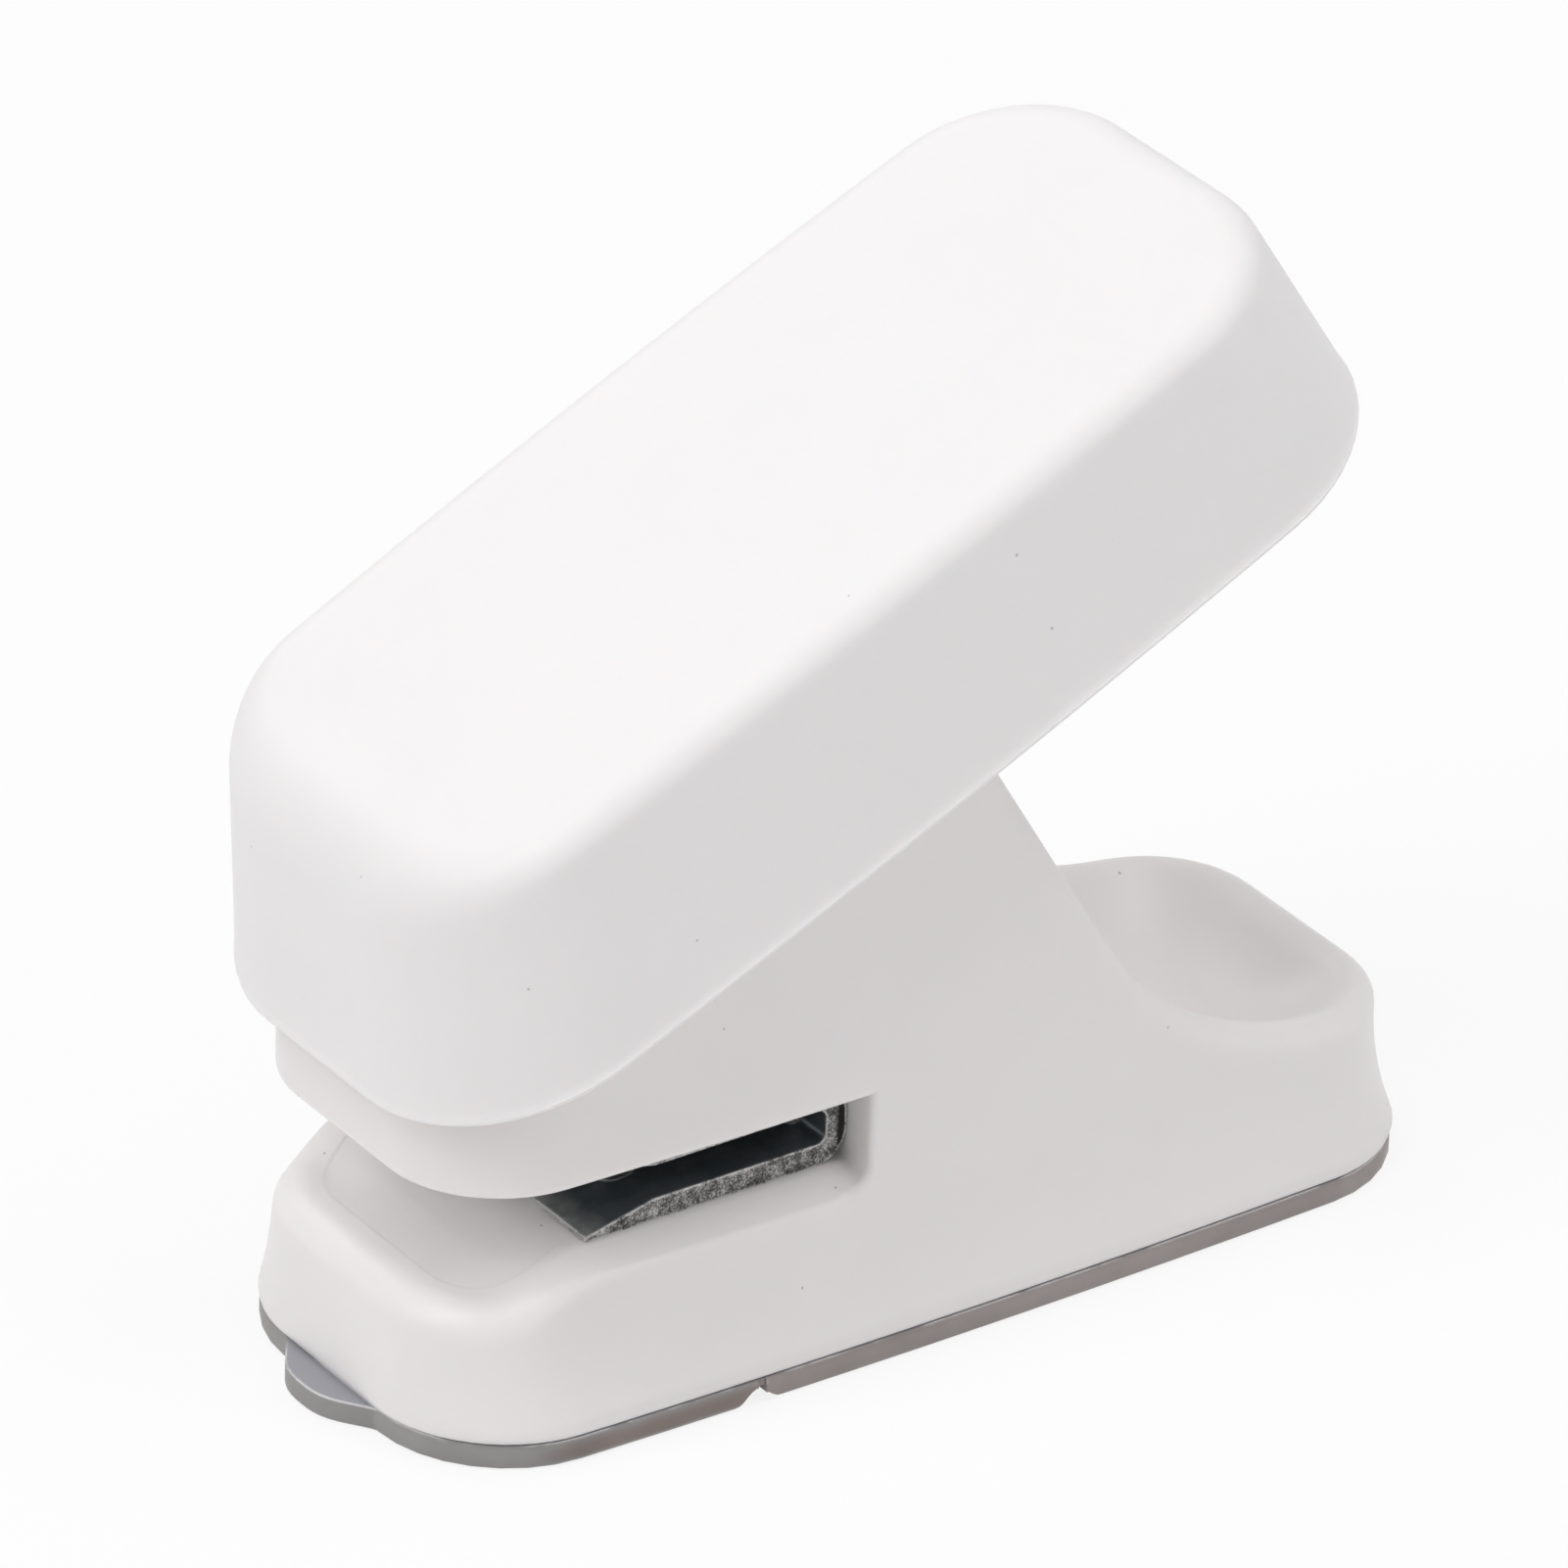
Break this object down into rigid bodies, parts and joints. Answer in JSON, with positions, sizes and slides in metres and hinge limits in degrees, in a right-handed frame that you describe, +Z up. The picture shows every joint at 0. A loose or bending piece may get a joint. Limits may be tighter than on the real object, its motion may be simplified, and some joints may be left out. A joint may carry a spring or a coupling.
{
  "type": "disc binding punch",
  "caption": "Hand punch for disc binding: tilted press lever over a steel paper throat that cuts mushroom holes, on a flared hollow base with a finger scoop and a hinged soft chip door.",
  "frame": {"origin": "under the middle of the base, on the face that it rests on", "axes": "+X to the rear, where the scoop is, so the throat opens toward -X; +Y across the width; +Z up"},
  "size_m": [0.0782, 0.036, 0.07],
  "materials": {
    "white_body": "fine satin moulded white, soft edges",
    "white_lever": "fine satin moulded white, soft edges",
    "blued_steel": "burnished blue-black faces with bright sheared edges",
    "bright_steel": "plain zinc-bright steel",
    "tool_steel": "ground tool steel",
    "spring_wire": "drawn spring wire",
    "grey_slider": "matt moulded grey",
    "soft_grey": "slightly translucent soft grey"
  },
  "bodies": {
    "body": {"housing": "white_body", "die_frame": "blued_steel", "frame_screws": "bright_steel", "yoke": "bright_steel", "yoke_screws": "bright_steel", "pivot_pin": "bright_steel", "pivot_clips": "blued_steel", "return_spring": "spring_wire", "spring_washer": "bright_steel", "base_cover": "soft_grey", "hinge_web": "soft_grey"},
    "lever": {"lever_cap": "white_lever", "lever_arm": "bright_steel", "lever_screws": "bright_steel"},
    "punch_unit": {"punch": "tool_steel", "crosshead": "grey_slider", "blade_pin": "bright_steel", "drive_pin": "bright_steel", "drive_clips": "blued_steel"},
    "door": {"chip_door": "soft_grey"}
  },
  "joints": [
    {"name": "lever_press", "type": "hinge", "parent": "body", "child": "lever", "pos_m": [-0.026, 0, 0.035], "axis": [0, 1, 0], "range_deg": [0, 17.4], "stiffness_Nm_per_rad": 0.185, "springref_deg": -18.91},
    {"name": "punch_slide", "type": "slide", "parent": "body", "child": "punch_unit", "axis": [0, 0, -1], "range_m": [0, 0.0042], "deforming": ["return_spring"]},
    {"name": "door_swing", "type": "hinge", "parent": "body", "child": "door", "pos_m": [-0.0157, 0, 0.0014], "axis": [0, -1, 0], "range_deg": [0, 60]}
  ],
  "couplings": [
    {"joint": "punch_slide", "follows": "lever_press", "m_per_rad": 0.013807}
  ]
}
